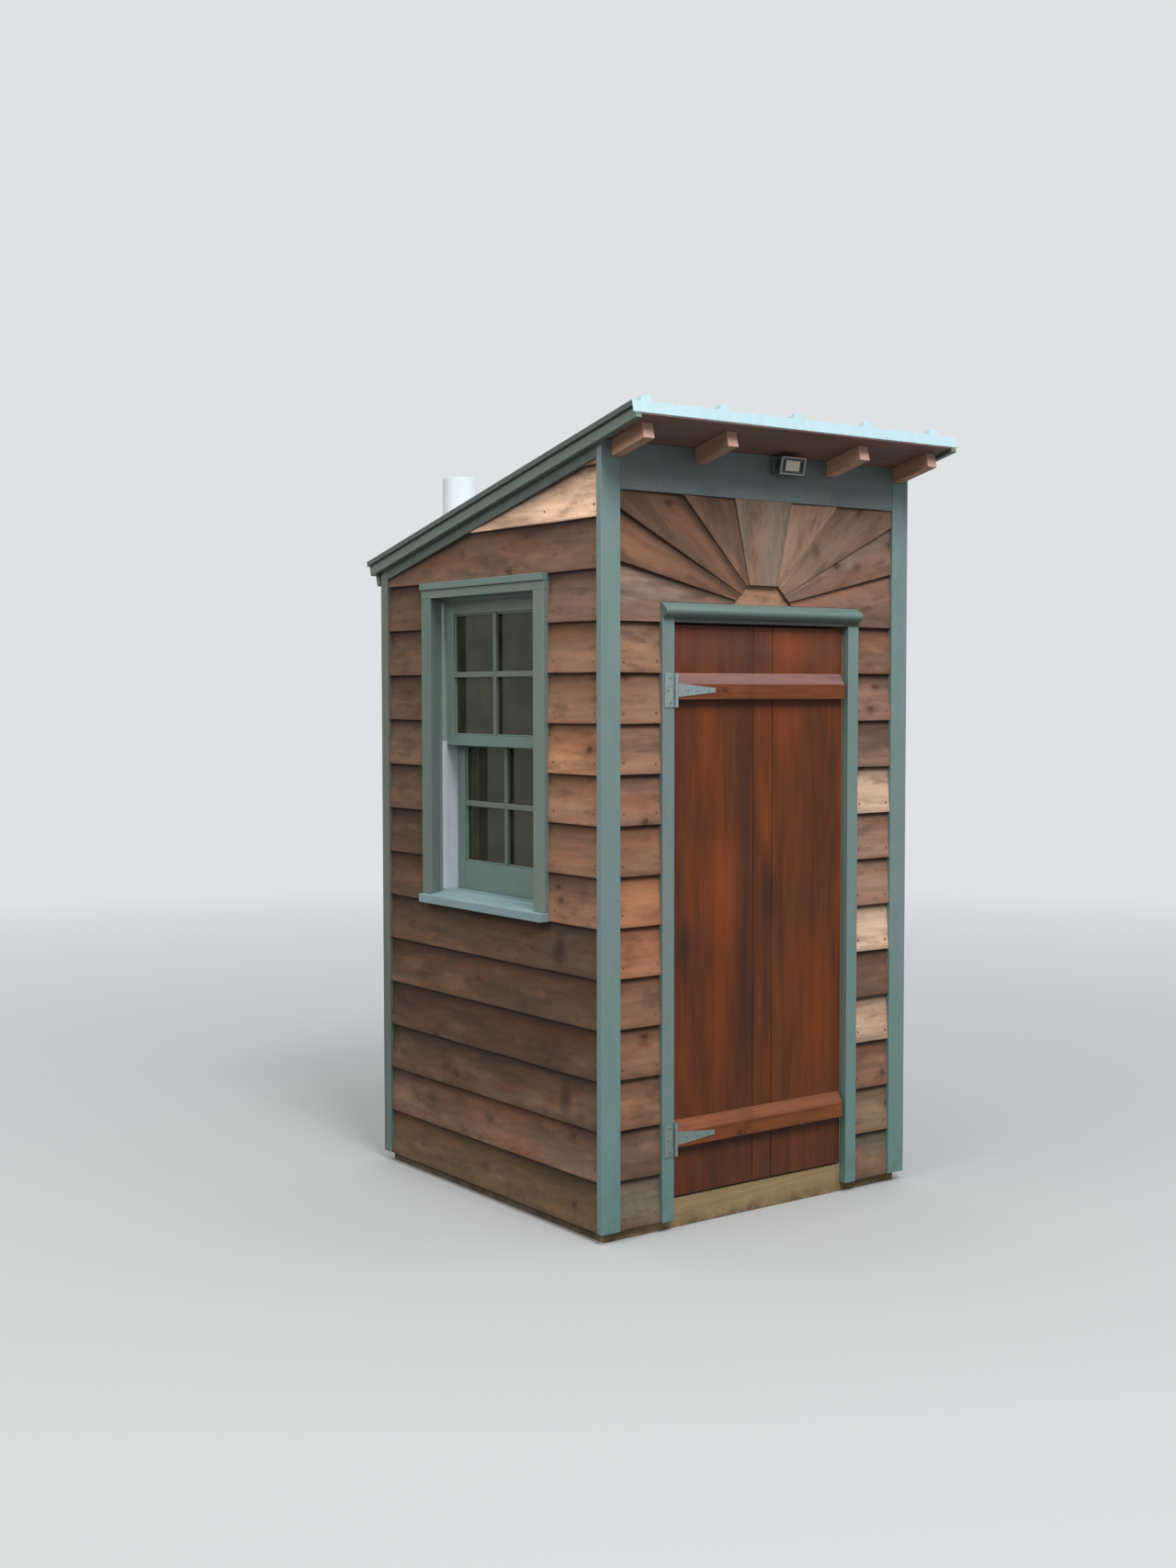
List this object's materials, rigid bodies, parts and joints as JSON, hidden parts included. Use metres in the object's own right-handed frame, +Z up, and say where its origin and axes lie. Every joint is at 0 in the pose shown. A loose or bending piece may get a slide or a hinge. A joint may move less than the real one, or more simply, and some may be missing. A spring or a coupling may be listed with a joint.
{
  "type": "wooden outhouse",
  "caption": "Small wooden outhouse with a shed roof, lapped cedar siding, a hinged plank door under a sunburst of boards, a side window and a vent pipe.",
  "frame": {"origin": "on the ground, under the middle of the floor", "axes": "+X to the right seen from the front, +Y to the back, +Z up"},
  "size_m": [1.276, 1.4789, 2.3965],
  "materials": {
    "siding": "weathered reddish cedar",
    "sunburst": "weathered cedar",
    "hub": "fresh cut cedar",
    "trim": "grey-green paint",
    "door": "red-brown stain, half gloss",
    "lumber": "bare treated lumber",
    "rafter": "orange-brown stain",
    "roof": "pale blue-white paint",
    "pipe": "white plastic",
    "rubber": "black rubber",
    "hinge": "galvanised",
    "liner": "white plastic",
    "glass": "window glass",
    "lamp": "grey plastic"
  },
  "bodies": {
    "building": {"rim_frame": "lumber", "front_sill": "lumber", "floor_deck": "lumber", "front_frame": "lumber", "left_frame": "lumber", "right_frame": "lumber", "rear_frame": "lumber", "door_stops": "lumber", "front_siding_left": "siding", "front_siding_right": "siding", "left_siding": "siding", "right_siding": "siding", "rear_siding": "siding", "front_corner_boards": "trim", "rear_corner_boards": "trim", "frieze_boards": "trim", "rake_trims": "trim", "barge_boards": "trim", "rear_fascia": "trim", "door_casings": "trim", "head_casing": "trim", "drip_cap": "trim", "window_frame": "trim", "window_casing": "trim", "window_sill": "trim", "upper_sash": "trim", "lower_sash": "trim", "rafters": "rafter", "roof_deck": "rafter", "roof_sheet": "roof", "vent_pipe": "pipe", "pipe_collar": "rubber", "hinge_leaves": "hinge", "fan_base_boards": "sunburst", "low_rays": "sunburst", "middle_rays": "sunburst", "high_rays": "sunburst", "key_ray": "sunburst", "fan_hub": "hub", "jamb_liners": "liner", "window_glass": "glass", "eave_lamp": "lamp"},
    "door": {"door_planks": "door", "door_ledges": "door", "hinge_straps": "hinge"}
  },
  "joints": [
    {"name": "door_hinge", "type": "hinge", "parent": "building", "child": "door", "pos_m": [-0.345, -0.6295, 0.95], "axis": [0, 0, -1], "range_deg": [0, 170]}
  ]
}
